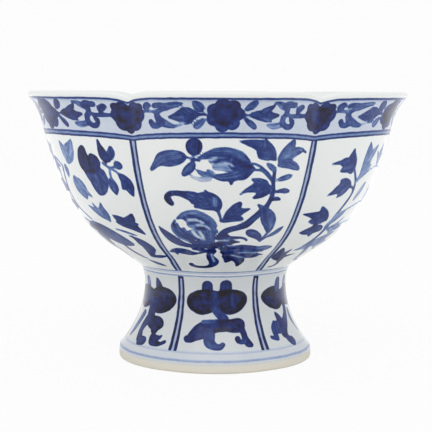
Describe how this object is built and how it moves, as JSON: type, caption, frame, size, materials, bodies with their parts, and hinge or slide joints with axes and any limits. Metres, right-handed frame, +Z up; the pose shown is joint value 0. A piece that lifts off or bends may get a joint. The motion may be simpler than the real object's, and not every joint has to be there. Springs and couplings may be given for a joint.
{
  "type": "stem bowl",
  "caption": "Lobed porcelain bowl on a short flared hollow stem, with a wavy turned-out lip and blue painted sprays under a clear glaze.",
  "frame": {"origin": "on the axis of the bowl and stem, in the plane that the foot ring stands on", "axes": "+Z up along the axis, -Y towards the middle of the front lobe"},
  "size_m": [0.1452, 0.1552, 0.106],
  "materials": {
    "bowl_glaze": "glossy clear glaze over cobalt blue brush painting on white porcelain",
    "stem_glaze": "glossy clear glaze over cobalt blue brush painting on white porcelain, bare at the foot ring",
    "fired_slip": "matt fired white clay"
  },
  "bodies": {
    "root": {"bowl": "bowl_glaze", "luting_slip": "fired_slip", "stem_foot": "stem_glaze"}
  },
  "joints": []
}
